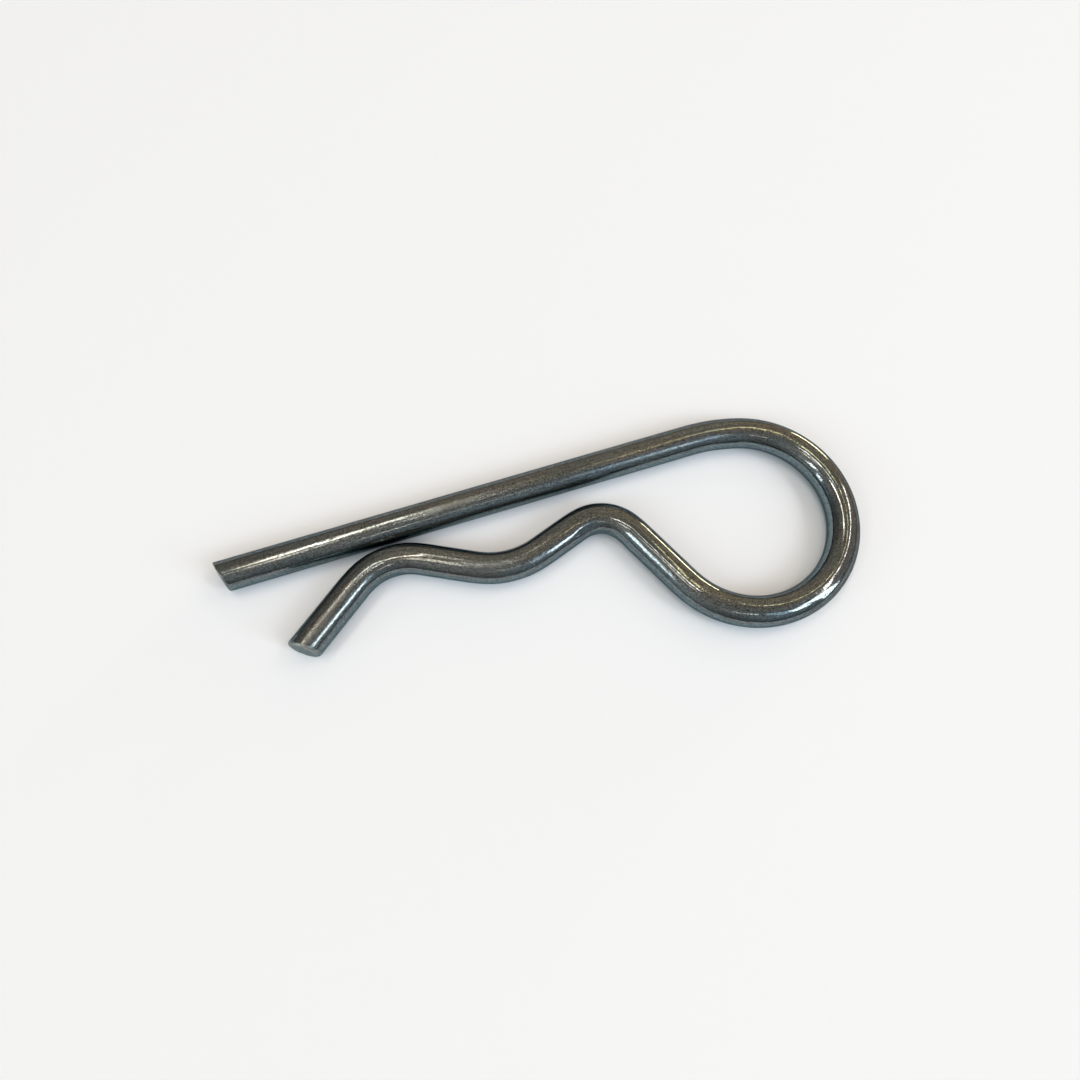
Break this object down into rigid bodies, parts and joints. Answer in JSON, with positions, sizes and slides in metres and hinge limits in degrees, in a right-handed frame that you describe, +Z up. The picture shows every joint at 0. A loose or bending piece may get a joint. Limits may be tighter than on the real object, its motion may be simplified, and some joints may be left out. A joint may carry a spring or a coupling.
{
  "type": "hitch r clip pin",
  "caption": "R-shaped spring clip bent from one round wire: straight pin leg, round eye and a wavy spring leg that snaps over a shaft.",
  "frame": {"origin": "on the surface the clip lies on, under the middle of its outline", "axes": "+X along the straight pin leg from its cut end towards the eye, +Y from the spring leg towards the pin leg, +Z up through the thickness of the wire"},
  "size_m": [0.0796, 0.0284, 0.004],
  "materials": {
    "zinc_plated_spring_steel": "bright clear-passivated zinc over drawn spring wire, with fine lengthwise drawing lines"
  },
  "bodies": {
    "root": {"clip": "zinc_plated_spring_steel"}
  },
  "joints": []
}
